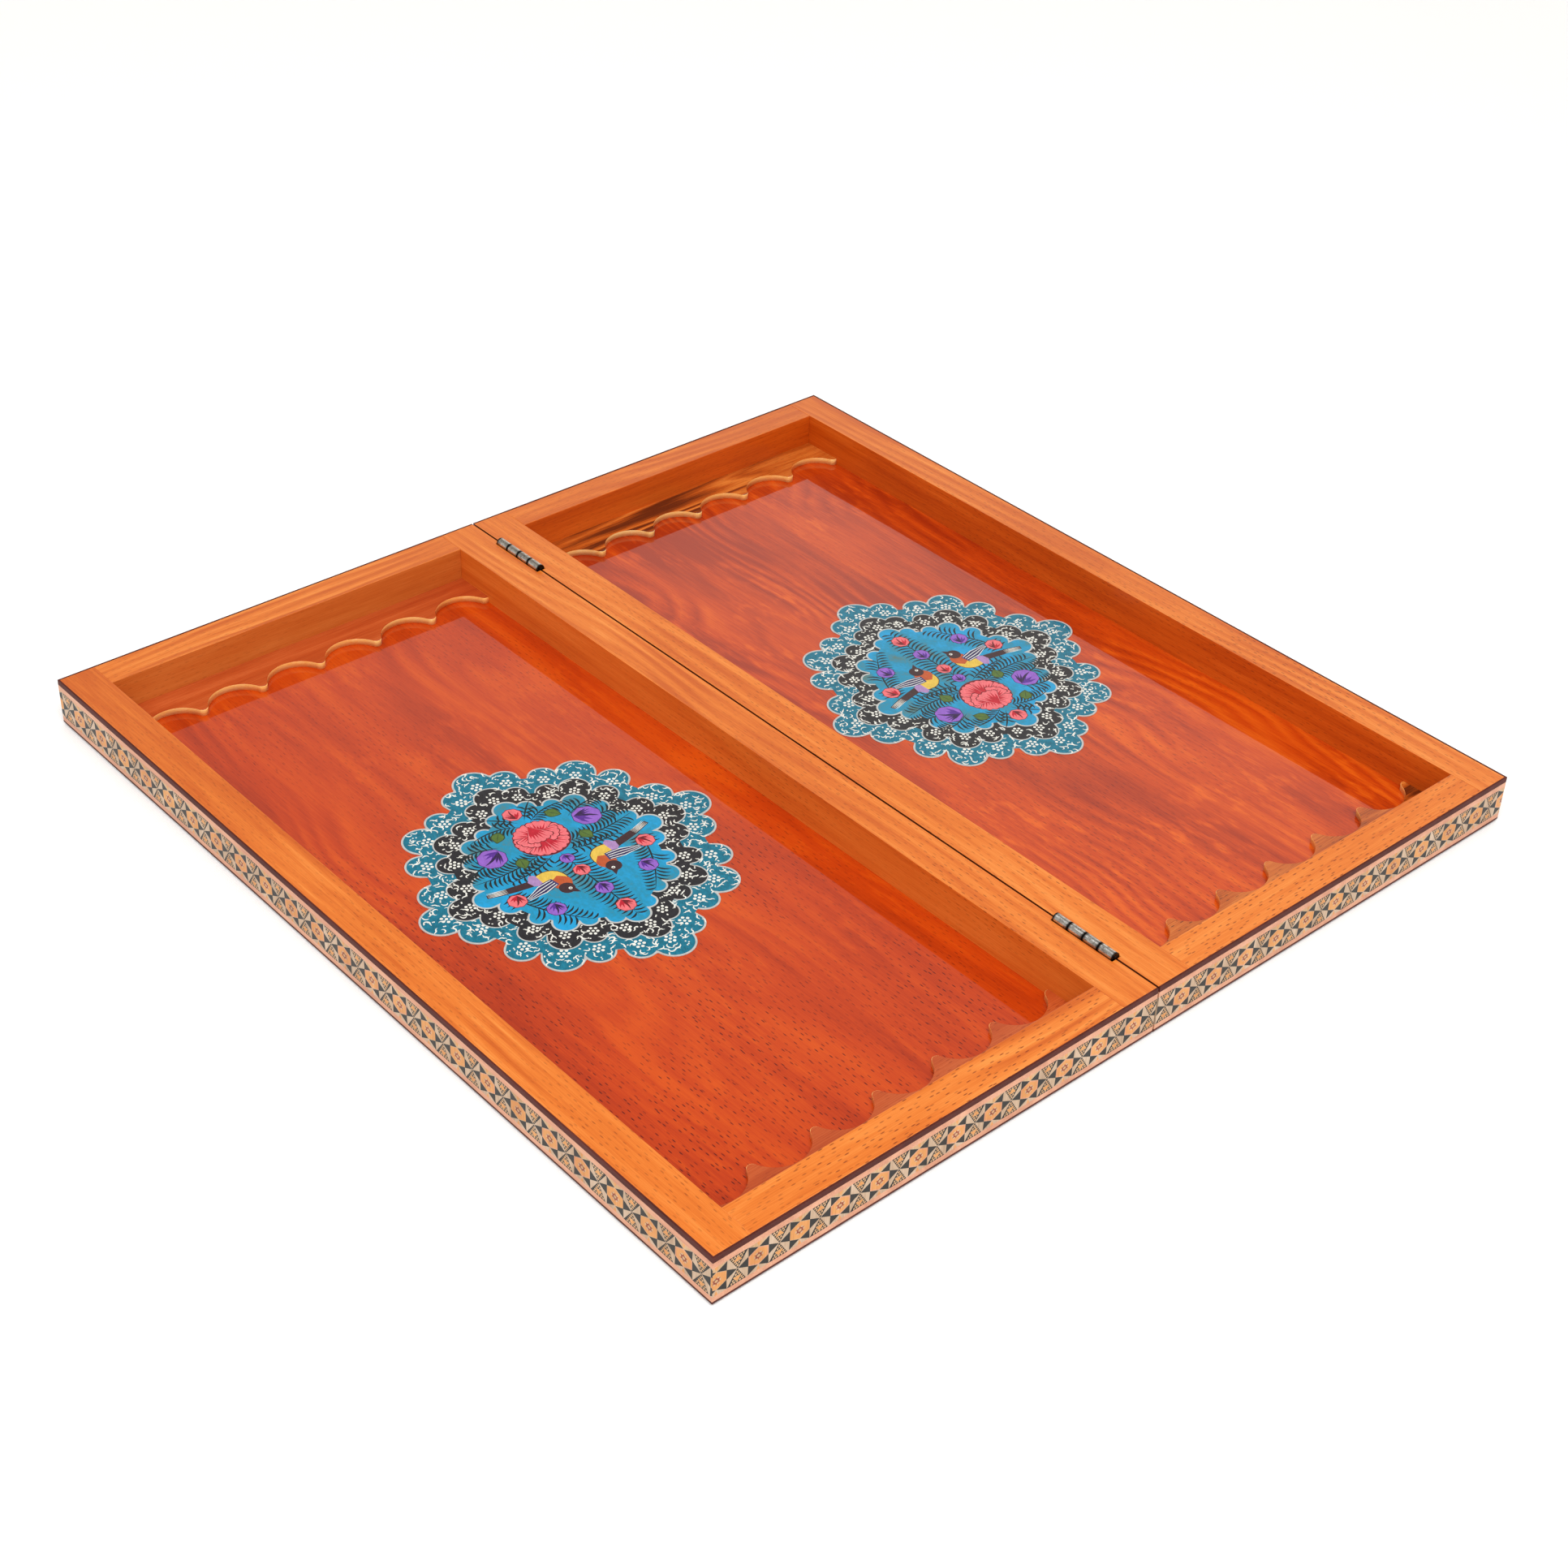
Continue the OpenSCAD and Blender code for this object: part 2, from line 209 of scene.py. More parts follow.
def wood(name, axis, tones, fleck, fleck_share=1.0, streak_at=(4.5, 140), figure=None,
         blotch=0.0, gloss=None, shift=(0, 0, 0), rear_shade=0.0):
    """Lacquered wood with its grain along one axis: streaks, slow bands of tone and short
    ray flecks, fewer towards the rear. figure=(spacing, bend, width, length, weight) adds
    growth lines that stand spacing mm apart and wander by bend lines; blotch adds pale
    patches; rear_shade is painted shade: how much darker the tone is made at the rear end
    of the board, where less light falls."""
    mat, g, shader = surface(name, Roughness=0.42, **(gloss or SATIN))
    fine = g.noise(g.coords(0.55, 22, axis, shift=shift), 4, 0.65)
    streak = g.noise(g.coords(*streak_at, axis, shift=shift), 3, 0.5, 0.4)
    broad = g.noise(g.coords(38, 150, axis, shift=shift), 2, 0.5, 0.6)
    tone = g.math("MULTIPLY_ADD", fine, 0.34, 0.0)
    tone = g.math("MULTIPLY_ADD", streak, 0.30, tone)
    tone = g.math("MULTIPLY_ADD", broad, 0.36, tone)
    if figure:
        spacing, bend, width, length, weight = figure
        side = g.add("ShaderNodeSeparateXYZ", {0: g.plan(axis, spacing, 1.0)}).outputs[0]
        slope = g.noise(g.coords(width, length, axis, shift=shift), 1, 0.4, 0.3)
        slope = g.math("MULTIPLY_ADD", streak, 0.05, slope)
        ring = g.math("FRACT", g.math("MULTIPLY_ADD", slope, bend, side))
        early = g.fade(ring, 0.0, 0.62, 0.50, -0.45)
        late = g.fade(ring, 0.62, 1.0, 0.0, 0.95)
        strength = g.fade(g.noise(g.coords(50, 110, axis, shift=(7, 3, 1)), 1),
                          0.42, 0.62, 0.1, 1.0)
        ring = g.math("MULTIPLY", g.math("ADD", early, late), strength)
        tone = g.math("MULTIPLY_ADD", ring, weight, tone)
    if blotch:
        patch = g.fade(g.noise(g.coords(5, 17, axis, shift=shift), 2, 0.6), 0.50, 0.68)
        place = g.fade(g.noise(g.coords(50, 70, axis, shift=(5, 9, 2)), 1), 0.45, 0.62)
        tone = g.math("MULTIPLY_ADD", g.math("MULTIPLY", patch, place), blotch, tone)
    rearward = g.place()[1]
    # painted shade: the tone is darkened towards the rear end of the board
    if rear_shade:
        tone = g.math("SUBTRACT", tone, g.fade(rearward, -0.25, 0.25, 0.0, rear_shade))
    colour = g.ramp(tone, [(0.36, tones[0]), (0.50, tones[1]), (0.64, tones[2])])
    dash = g.flecks(axis, FLECK_SPACING, FLECK_SIZE, shift)
    patch = g.fade(g.noise(g.coords(60, 140, axis, shift=(3, 1, 2)), 2), 0.38, 0.58, 0.2, 1.0)
    dash = g.math("MULTIPLY", dash, patch)
    dash = g.math("MULTIPLY", dash, g.fade(rearward, -0.12, 0.22, 1.0, 0.35))
    colour = g.mix(g.math("MULTIPLY", dash, fleck_share), colour, fleck)
    g.link(colour, shader, "Base Color")
    height = g.math("SUBTRACT", fine, g.math("MULTIPLY", dash, 0.5))
    g.link(g.bump(height, 0.25, 0.08), shader, "Normal")
    rough = g.fade(streak, 0.3, 0.7, 0.36, 0.50)
    g.link(rough, shader, "Roughness")
    swell = g.noise(g.coords(9, 16, axis), 2, 0.5)
    g.link(g.bump(swell, 0.12, 0.12), shader, "Coat Normal")
    return mat


def veneer(name, tones, axis=0, rough=0.4, across=0.5, along=14, gloss=WAXED):
    """A thin slip of wood: close grain in three tones."""
    mat, g, shader = surface(name, Roughness=rough, **gloss)
    grain = g.noise(g.coords(across, along, axis), 3, 0.6)
    slow = g.noise(g.coords(7, 24, axis), 2, 0.5)
    tone = g.math("MULTIPLY_ADD", grain, 0.5, g.math("MULTIPLY", slow, 0.5))
    g.link(g.ramp(tone, [(0.34, tones[0]), (0.5, tones[1]), (0.66, tones[2])]),
           shader, "Base Color")
    g.link(g.bump(grain, 0.2, 0.05), shader, "Normal")
    return mat


def spread(colour, amount=0.16):
    """A colour and its darker and lighter neighbours."""
    dark = tuple(c * (1 - amount) for c in colour[:3]) + (1.0,)
    light = tuple(min(1.0, c * (1 + amount) + 0.004) for c in colour[:3]) + (1.0,)
    return dark, colour, light


PAINT_STRENGTH = 0.70


def paint(name, colour, amount=0.14):
    """Brushed paint under gloss lacquer: mottled colour and fine brush lines."""
    colour = tuple(c * PAINT_STRENGTH for c in colour[:3]) + (1.0,)
    mat, g, shader = surface(name, Roughness=0.45, **PAINTED)
    mottle = g.noise(g.coords(2.6, 3.4, 1), 3, 0.6)
    brush = g.noise(g.coords(0.35, 3.0, 1, turn=0.6), 2, 0.6)
    tone = g.math("MULTIPLY_ADD", brush, 0.4, g.math("MULTIPLY", mottle, 0.6))
    dark, middle, light = spread(colour, amount)
    g.link(g.ramp(tone, [(0.35, dark), (0.5, middle), (0.65, light)]), shader, "Base Color")
    g.link(g.bump(brush, 0.15, 0.04), shader, "Normal")
    return mat


def ground_paint():
    """The sky-blue ground of a medallion, with clouds of greener, duller blue."""
    mat, g, shader = surface("medallion_blue", Roughness=0.45, **PAINTED)
    cloud = g.noise(g.coords(17, 22, 1), 3, 0.6, 0.5)
    fine = g.noise(g.coords(1.2, 2.0, 1), 2, 0.6)
    tone = g.math("MULTIPLY_ADD", fine, 0.25, g.math("MULTIPLY", cloud, 0.75))
    colour = g.ramp(tone, [(0.30, rgb(78, 112, 108)), (0.46, rgb(16, 130, 164)),
                           (0.62, rgb(12, 148, 202))])
    g.link(colour, shader, "Base Color")
    g.link(g.bump(fine, 0.15, 0.04), shader, "Normal")
    return mat


HINGE_AT_MM = box_mm("rear_hinge_pin")[0].y / 2 + box_mm("rear_hinge_pin")[1].y / 2
KNUCKLE_MM = 9.0
BARREL_FOOT_MM = 24.6


def steel(name, dark, light, rough=0.34):
    """Aged plated steel: mottled, worn and scratched, with dark bands of painted shade where
    knuckles meet.
    """
    mat, g, shader = surface(name, Metallic=1.0, Roughness=rough)
    mottle = g.noise(g.coords(1.6, 2.2, 1), 4, 0.62)
    scratch = g.noise(g.coords(0.18, 5.0, 1), 2, 0.6)
    tone = g.math("MULTIPLY_ADD", scratch, 0.35, g.math("MULTIPLY", mottle, 0.65))
    colour = g.ramp(tone, [(0.36, dark), (0.56, light)])
    place = g.place()
    # painted shade: dark bands across the barrel where its knuckles meet, standing for the shade
    # in the gaps between them; the leaves are left out.
    knuckle = g.math("MULTIPLY_ADD", g.math("ABSOLUTE", place[1]), 1 / (KNUCKLE_MM * MM),
                     -HINGE_AT_MM / KNUCKLE_MM)
    on_leaf = g.fade(place[2], (BARREL_FOOT_MM - 1) * MM, BARREL_FOOT_MM * MM, 1.0, 0.0)
    outside_gap_shade = g.math("MAXIMUM", on_leaf, g.fade(g.math("PINGPONG", knuckle, 0.5), 0.05, 0.15))
    g.link(g.mix(outside_gap_shade, (0.02, 0.017, 0.015, 1), colour), shader, "Base Color")
    g.link(g.fade(mottle, 0.3, 0.7, rough + 0.16, rough - 0.10), shader, "Roughness")
    g.link(g.bump(tone, 0.3, 0.03), shader, "Normal")
    return mat


RAIL_TONES = [rgb(190, 88, 24), rgb(211, 112, 38), rgb(225, 136, 60)]
RAIL_FLECK = rgb(112, 38, 10)
RAIL_Y = wood("beech_along", 1, RAIL_TONES, RAIL_FLECK, 0.7,
              figure=(9.0, 6, 40, 260, 0.16), rear_shade=0.07)
RAIL_X = wood("beech_across", 0, RAIL_TONES, RAIL_FLECK, 0.8,
              figure=(9.0, 8, 30, 170, 0.22), rear_shade=0.07)
# Inner faces of the rails: the same beech as the rail tops, given their own darker, redder tones
# for each tray and direction, as painted shade.
RIGHT_WALL_SHADE = [rgb(174, 64, 6), rgb(200, 84, 12), rgb(218, 104, 26)]
WALL_SHADE_TONES = {("left", 0): [rgb(178, 82, 24), rgb(196, 100, 36), rgb(208, 118, 52)],
              ("left", 1): [rgb(198, 88, 22), rgb(216, 108, 34), rgb(228, 126, 50)],
              ("right", 0): RIGHT_WALL_SHADE, ("right", 1): RIGHT_WALL_SHADE}
SHADED_WALLS = {(side, axis): wood(f"{side}_wall_{'xy'[axis]}", axis, tones, rgb(104, 34, 8), 0.6)
         for (side, axis), tones in WALL_SHADE_TONES.items()}
# Faces across the fold: painted shade, a dark brown that makes the gap between the halves read as
# a shadowed line.
FOLD_SHADE = wood("fold_gap_shade", 1, [rgb(64, 22, 8), rgb(84, 32, 12), rgb(104, 42, 16)],
                 rgb(50, 16, 6))
FIELD_LEFT = wood("field_left", 1, [rgb(158, 42, 1), rgb(182, 56, 2), rgb(198, 73, 5)],
                  rgb(80, 12, 2), 0.95, streak_at=(13, 110), figure=(15.0, 9, 80, 220, 0.16),
                  blotch=0.10, gloss=LACQUER)
FIELD_RIGHT = wood("field_right", 1, [rgb(152, 39, 1), rgb(188, 62, 3), rgb(210, 87, 11)],
                   rgb(96, 18, 3), 0.55, streak_at=(12, 100), figure=(9.5, 9, 80, 170, 0.18),
                   blotch=0.13, gloss=LACQUER, shift=(4.3, 2.1, 0.0), rear_shade=0.09)
STRIP_LEFT = wood("strip_left", 0, [rgb(154, 52, 18), rgb(176, 74, 30), rgb(196, 97, 49)],
                  rgb(120, 34, 12), 0.5, gloss=LACQUER)
STRIP_RIGHT = wood("strip_right", 0, [rgb(84, 30, 6), rgb(176, 80, 20), rgb(212, 124, 50)],
                   rgb(74, 28, 10), 0.8, figure=(11.0, 6, 22, 150, 0.34), gloss=LACQUER,
                   shift=(1.2, 0.4, 0.0))
# Rounded edge of the point strips: paler wood, made brighter still as a painted highlight.
STRIP_EDGE_HIGHLIGHT = wood("strip_edge_highlight", 0, [rgb(252, 178, 84), rgb(255, 206, 122), rgb(255, 224, 152)],
                  rgb(214, 122, 62), 0.4, gloss=LACQUER)
BACK = wood("back_veneer", 1, [rgb(104, 50, 24), rgb(132, 66, 32), rgb(156, 84, 44)],
            rgb(70, 30, 16), 0.6, figure=(10.0, 20, 110, 400, 0.2), gloss=SATIN)
DARK_STRIP = veneer("dark_strip", spread(rgb(82, 36, 30), 0.28), 1, 0.5, gloss=BARE)
PALE_STRIP = veneer("pale_strip", [rgb(190, 128, 98), rgb(212, 152, 120), rgb(226, 172, 140)], 1)
DOWEL = veneer("birch_dowel", spread(rgb(214, 180, 132)), 0, 0.6)
STEEL = steel("aged_steel", (0.16, 0.145, 0.13, 1), (0.72, 0.70, 0.66, 1), 0.24)
PIN_STEEL = steel("pin_steel", (0.10, 0.09, 0.08, 1), (0.45, 0.43, 0.40, 1), 0.4)


# ---- mesh helpers ----

def new_object(name, bm, materials):
    """An object from a bmesh drawn in mm."""
    bmesh.ops.recalc_face_normals(bm, faces=bm.faces)
    bmesh.ops.scale(bm, vec=(MM,) * 3, verts=bm.verts)
    mesh = bpy.data.meshes.new(name)
    bm.to_mesh(mesh)
    bm.free()
    for mat in materials:
        mesh.materials.append(mat)
    obj = bpy.data.objects.new(name, mesh)
    bpy.context.scene.collection.objects.link(obj)
    return obj


def settle(obj, body, nodes):
    """Hands a finished piece to the frame."""
    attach(obj, body)
    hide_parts(*nodes)


ARRIS_SEGMENTS = 2
ARRIS_DEG = 35.0
SAME_POINT_MM = 0.002


def softened(node, name, materials, width, choose=None):
    """A copy of a CAD node with its arrises rounded off by width mm. choose(face) says
    which of the materials a face has."""
    bm = bmesh.new()
    bm.from_mesh(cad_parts[node].data)
    bmesh.ops.scale(bm, vec=(1 / MM,) * 3, verts=bm.verts)
    bmesh.ops.remove_doubles(bm, verts=bm.verts, dist=SAME_POINT_MM)
    bmesh.ops.dissolve_limit(bm, angle_limit=math.radians(0.5), verts=bm.verts, edges=bm.edges)
    limit = math.radians(ARRIS_DEG)
    sharp = [e for e in bm.edges if e.is_manifold and e.calc_face_angle(0) > limit]
    bmesh.ops.bevel(bm, geom=sharp, offset=width, offset_type="OFFSET",
                    segments=ARRIS_SEGMENTS, profile=0.5, affect="EDGES", clamp_overlap=True)
    for face in bm.faces:
        face.material_index = choose(face) if choose else 0
        face.smooth = False
    return new_object(name, bm, materials)


class Sheet:
    """Flat coloured shapes in painter's order, cut into one mesh with no overlaps.
    The first shape is the outline, and nothing outside it is kept."""

    def __init__(self, outline, colour):
        self.points = []
        self.shapes = []
        self.colours = []
        self.add(outline, colour)

    def add(self, outline, colour):
        """Adds a shape on top of those before it. The cutter needs it anticlockwise."""
        first = len(self.points)
        turned = sum(x0 * y1 - x1 * y0 for (x0, y0), (x1, y1)
                     in zip(outline, outline[1:] + outline[:1]))
        points = outline if turned > 0 else outline[::-1]
        self.points += [Vector((x, y)) for x, y in points]
        self.shapes.append(list(range(first, len(self.points))))
        self.colours.append(colour)

    def cut(self):
        points, _, faces, _, _, owners = delaunay_2d_cdt(
            self.points, [], self.shapes, 1, 1e-4, True)
        kept = [(face, self.colours[max(own)])
                for face, own in zip(faces, owners) if own and min(own) == 0]
        return points, kept


def slab_from(sheet, name, place, palette):
    """A thin closed solid whose front is the sheet. place(u, v, back) gives a point in mm,
    on the front where back is False."""
    points, faces = sheet.cut()
    names = sorted(set(colour for _, colour in faces))
    bm = bmesh.new()
    used = sorted(set(i for face, _ in faces for i in face))
    front = {i: bm.verts.new(place(points[i][0], points[i][1], False)) for i in used}
    for face, colour in faces:
        if len(set(face)) > 2:
            made = bm.faces.new([front[i] for i in face])
            made.material_index = names.index(colour)
    flat = {vert: i for i, vert in front.items()}
    rim = [e for e in bm.edges if len(e.link_faces) == 1]
    back = {}
    for edge in rim:
        for vert in edge.verts:
            if vert not in back:
                u, v = points[flat[vert]]
                back[vert] = bm.verts.new(place(u, v, True))
    base = names.index(sheet.colours[0])
    for edge in rim:
        a, b = edge.verts
        bm.faces.new([a, b, back[b], back[a]]).material_index = base
    loop = [e for e in bm.edges if len(e.link_faces) == 1]
    for face in bmesh.ops.contextual_create(bm, geom=loop)["faces"]:
        face.material_index = base
    loose = [v for v in bm.verts if not v.link_faces]
    bmesh.ops.delete(bm, geom=loose, context="VERTS")
    return new_object(name, bm, [palette[n] for n in names])


# ---- flat shapes ----

def disc(cx, cy, r, sides, squash=1.0):
    """A regular polygon standing for a round spot, squashed in height."""
    return [(cx + r * math.cos(math.tau * i / sides),
             cy + squash * r * math.sin(math.tau * i / sides)) for i in range(sides)]


def ribbon(path, width):
    """A stroke along a path, thin at both ends."""
    left, right = [], []
    last = len(path) - 1
    for i, (x, y) in enumerate(path):
        x0, y0 = path[max(0, i - 1)]
        x1, y1 = path[min(last, i + 1)]
        length = math.hypot(x1 - x0, y1 - y0) or 1.0
        half = width / 2 * max(0.12, math.sin(math.pi * (i + 0.3) / (last + 0.6)))
        nx, ny = -(y1 - y0) / length * half, (x1 - x0) / length * half
        left.append((x + nx, y + ny))
        right.append((x - nx, y - ny))
    return left + right[::-1]


def bezier(a, b, c, t):
    """A point on a curve that leaves a and reaches c, bent towards b."""
    return tuple((1 - t) ** 2 * p + 2 * t * (1 - t) * q + t * t * r for p, q, r in zip(a, b, c))


# ---- rails ----

RAIL_SOFT = 0.3
FOLD_FACE_MM = 1.5
TRAY_MIDDLE = box_mm("right_field_panel")[0].x / 2 + box_mm("right_field_panel")[1].x / 2
TRAY_END = 1 - box_mm("right_front_rail")[1].y


def rail_face(face):
    """0 on the outside of a rail, 1 across the fold, where the dark painted shade goes, 2 inside
    the tray, where the shaded wall tones go.
    """
    middle, out = face.calc_center_median(), face.normal
    if abs(middle.x) < FOLD_FACE_MM and abs(out.x) > 0.9:
        return 1
    tray = math.copysign(TRAY_MIDDLE, middle.x)
    if out.x * (tray - middle.x) > 60 or out.y * -middle.y > 200 and abs(middle.y) < TRAY_END:
        return 2
    return 0


for side in HALVES:
    body = side + "_half"
    for part, grain in (("outer_rail", RAIL_Y), ("hinge_rail", RAIL_Y),
                        ("front_rail", RAIL_X), ("rear_rail", RAIL_X)):
        node = f"{side}_{part}"
        wall = SHADED_WALLS[side, 1 if grain is RAIL_Y else 0]
        rail = softened(node, node + "_lacquered", [grain, FOLD_SHADE, wall], RAIL_SOFT, rail_face)
        settle(rail, body, [node])


# ---- scalloped point strips ----

# scallops and the round noses between them, as shares of their pitch
ARC_COUNT = 6
ARC_RATIO = 0.467
NOSE_RATIO = 0.076
# bare ends of a strip, its least reach and the width of its rounded edge, in mm
ARC_MARGIN = 1.2
STRIP_WEB = 13.4
STRIP_SOFT = 1.9
ARC_STEPS = 36
NOSE_STEPS = 10


def scallop_line(width):
    """Free edge of a strip as [distance along, reach from the rail] points."""
    pitch = (width - 2 * ARC_MARGIN) / ARC_COUNT
    arc_r, nose_r = ARC_RATIO * pitch, NOSE_RATIO * pitch
    arc_y = STRIP_WEB + arc_r
    nose_y = arc_y - math.sqrt((arc_r + nose_r) ** 2 - (pitch / 2) ** 2)
    lean = math.atan2(arc_y - nose_y, pitch / 2)
    line = []
    for i in range(ARC_COUNT + 1):
        centre = ARC_MARGIN + i * pitch
        start, end = math.pi - lean, lean
        for step in range(NOSE_STEPS + 1):
            a = start + (end - start) * step / NOSE_STEPS
            line.append((centre + nose_r * math.cos(a), nose_y + nose_r * math.sin(a)))
        if i < ARC_COUNT:
            start, end = math.pi + lean, math.tau - lean
            for step in range(1, ARC_STEPS):
                a = start + (end - start) * step / ARC_STEPS
                line.append((centre + pitch / 2 + arc_r * math.cos(a),
                             arc_y + arc_r * math.sin(a)))
    inside = [(u, v) for u, v in line if 0.02 < u < width - 0.02]
    return [(0.0, inside[0][1])] + inside + [(width, inside[-1][1])]


def point_strip(node, name, rear, face_mat):
    """A scalloped strip in its CAD node's box, with the free edge rounded over."""
    lo, hi = box_mm(node)
    line = scallop_line(hi.x - lo.x)
    wall = hi.y if rear else lo.y
    way = -1 if rear else 1
    outline = [(lo.x, wall)] + [(lo.x + u, wall + way * v) for u, v in line] + [(hi.x, wall)]
    bm = bmesh.new()
    low = [bm.verts.new((x, y, lo.z)) for x, y in outline]
    top = [bm.verts.new((x, y, hi.z)) for x, y in outline]
    bm.faces.new(low[::-1])
    bm.faces.new(top)
    last = len(outline)
    for i in range(last):
        j = (i + 1) % last
        face = bm.faces.new([low[i], low[j], top[j], top[i]])
        face.material_index = 1 if 1 <= i < last - 2 else 0
        face.smooth = face.material_index == 1
    free = [bm.edges.get((top[i], top[i + 1])) for i in range(1, last - 2)]
    made = bmesh.ops.bevel(bm, geom=free, offset=STRIP_SOFT, offset_type="OFFSET", segments=5,
                           profile=0.5, affect="EDGES", clamp_overlap=True)
    for face in made["faces"]:
        face.material_index = 1
        face.smooth = True
    return new_object(name, bm, [face_mat, STRIP_EDGE_HIGHLIGHT])


for side, mat in (("left", STRIP_LEFT), ("right", STRIP_RIGHT)):
    for end in ("front", "rear"):
        node = f"{side}_{end}_point_strip"
        settle(point_strip(node, node + "_moulded", end == "rear", mat),
               side + "_half", [node])


# ---- marquetry bands ----

STAR_PITCH = 21.1
MARQUETRY = {
    "bone": veneer("inlay_bone", [rgb(166, 136, 108), rgb(190, 162, 134), rgb(210, 186, 162)], 2),
    "cream": veneer("inlay_cream", [rgb(178, 138, 94), rgb(196, 156, 112), rgb(212, 176, 136)], 2),
    "gold": veneer("inlay_gold", [rgb(196, 126, 60), rgb(212, 144, 76), rgb(226, 164, 96)], 2),
    "rose": veneer("inlay_rose", [rgb(194, 120, 78), rgb(214, 142, 98), rgb(226, 162, 118)], 2),
    "ebony": veneer("inlay_ebony", [rgb(6, 6, 3), rgb(14, 13, 8), rgb(26, 24, 16)], 2),
    "red": veneer("inlay_red", [rgb(104, 36, 20), rgb(134, 52, 30), rgb(158, 70, 42)], 2),
}
CHECKER_ROWS = 6
EDGE_LINE = 0.75


def checkered(sheet, a, b, c):
    """A triangle of small dark triangles on a pale ground; a is its apex."""
    sheet.add([a, b, c], "cream")
    n = CHECKER_ROWS

    def at(i, j):
        return tuple(a[k] + (b[k] - a[k]) * i / n + (c[k] - b[k]) * j / n for k in (0, 1))
    for i in range(n):
        for j in range(i + 1):
            sheet.add([at(i, j), at(i + 1, j), at(i + 1, j + 1)], "ebony")


def star_unit(sheet, cx, cy, half, rng):
    """One hexagon with its star points, and the pair of checkered triangles to its right."""
    def put(points, colour):
        sheet.add([(cx + x, cy + y) for x, y in points], colour)
    for s in (-1, 1):
        put([(0, 4.75 * s), (-4.5, (half - 0.02) * s), (4.5, (half - 0.02) * s)],
            "cream" if s > 0 else "bone")
        put([(0, 5.3 * s), (-1.0, (half - 0.02) * s), (1.0, (half - 0.02) * s)], "gold")
        put([(5.1 * s, 2.7), (5.1 * s, -2.7), (10.4 * s, 0)], "ebony")
        for t in (-1, 1):
            put([(5.1 * s, 2.5 * t), (5.3 * s, 7.5 * t), (0.2 * s, 4.8 * t)], "ebony")
    side = rng.choice(("rose", "gold"))
    put([(0, 4.6), (-5.0, 2.4), (-5.0, -2.4), (0, -4.6), (5.0, -2.4), (5.0, 2.4)], side)
    put([(0, 4.0), (-4.3, 2.05), (-4.3, -2.05), (0, -4.0), (4.3, -2.05), (4.3, 2.05)], "gold")
    for k in range(6):
        a = math.pi / 2 + math.pi * k / 3
        inner, outer, gap = 1.15, 2.55, math.pi / 6
        put([(inner * math.cos(a - gap), 0.86 * inner * math.sin(a - gap)),
             (outer * math.cos(a), 0.86 * outer * math.sin(a)),
             (inner * math.cos(a + gap), 0.86 * inner * math.sin(a + gap))], "red")
        b = a + math.pi / 6
        put([(1.2 * math.cos(b), 1.03 * math.sin(b)),
             (2.5 * math.cos(b - 0.30), 2.15 * math.sin(b - 0.30)),
             (2.5 * math.cos(b + 0.30), 2.15 * math.sin(b + 0.30))], "bone")
    put(disc(0, 0, 1.7, 6, 0.86), "red")
    put(disc(0, 0, 0.9, 6, 0.86), "cream")
    node = cx + STAR_PITCH / 2
    for s in (-1, 1):
        tip, left, right = (node, cy), (node - 4.4, cy + half * s), (node + 4.4, cy + half * s)
        checkered(sheet, tip, left, right)
        sheet.add([(node - 2.1, cy + 0.56 * half * s), (node + 2.1, cy + 0.56 * half * s),
                   (node, cy + 0.86 * half * s)][::-s], "gold")
        edge = right if s > 0 else left
        sheet.add([tip, (edge[0] + EDGE_LINE, edge[1]), (edge[0] - EDGE_LINE, edge[1])], "ebony")


def marquetry_band(name, node, start, along, outward, length, mitres, phase, seed):
    """A veneer band on an outside face. start is its first bottom corner, mitres say which
    ends are cut back at 45 degrees, and phase is where the first star stands."""
    lo, hi = box_mm(node)
    depth = min(hi.x - lo.x, hi.y - lo.y)
    height = hi.z - lo.z
    start, along, outward = Vector(start), Vector(along), Vector(outward)
    rng = random.Random(seed)
    sheet = Sheet([(0, 0), (length, 0), (length, height), (0, height)], "bone")
    centre = phase - STAR_PITCH
    while centre < length + STAR_PITCH:
        star_unit(sheet, centre, height / 2, height / 2, rng)
        centre += STAR_PITCH

    def place(u, v, back):
        if back:
            shrink = 1 - depth * sum(mitres) / length
            u = depth * mitres[0] + u * shrink
        return start + along * u + Vector((0, 0, v)) - outward * (depth if back else 0)
    return slab_from(sheet, name, place, MARQUETRY)


for side, s in HALVES.items():
    lo, hi = box_mm(f"{side}_outer_inlay")
    x_out = lo.x if s < 0 else hi.x
    x_fold = box_mm(f"{side}_front_inlay")[1 if s < 0 else 0].x
    y_end = hi.y
    body = side + "_half"
    wide = abs(x_fold - x_out)
    long = 2 * y_end
    bands = [
        ("outer", (x_out, s * y_end, lo.z), (0, -s, 0), (s, 0, 0), long, (1, 1), 0.5),
        ("front", (min(x_out, x_fold), -y_end, lo.z), (1, 0, 0), (0, -1, 0), wide,
         (1, 0) if s < 0 else (0, 1), 1.9 if s < 0 else 16.1),
        ("rear", (max(x_out, x_fold), y_end, lo.z), (-1, 0, 0), (0, 1, 0), wide,
         (0, 1) if s < 0 else (1, 0), 16.1 if s < 0 else 1.9),
    ]
    if s < 0:
        bands[0] = ("outer", (x_out, y_end, lo.z), (0, -1, 0), (-1, 0, 0), long, (1, 1), 18.75)
    for index, (end, start, along, outward, length, mitres, phase) in enumerate(bands):
        node = f"{side}_{end}_inlay"
        obj = marquetry_band(f"{side}_{end}_marquetry", node, start, along, outward, length,
                             mitres, phase, 40 + index + 10 * s)
        settle(obj, body, [node])


# ---- painted medallions ----

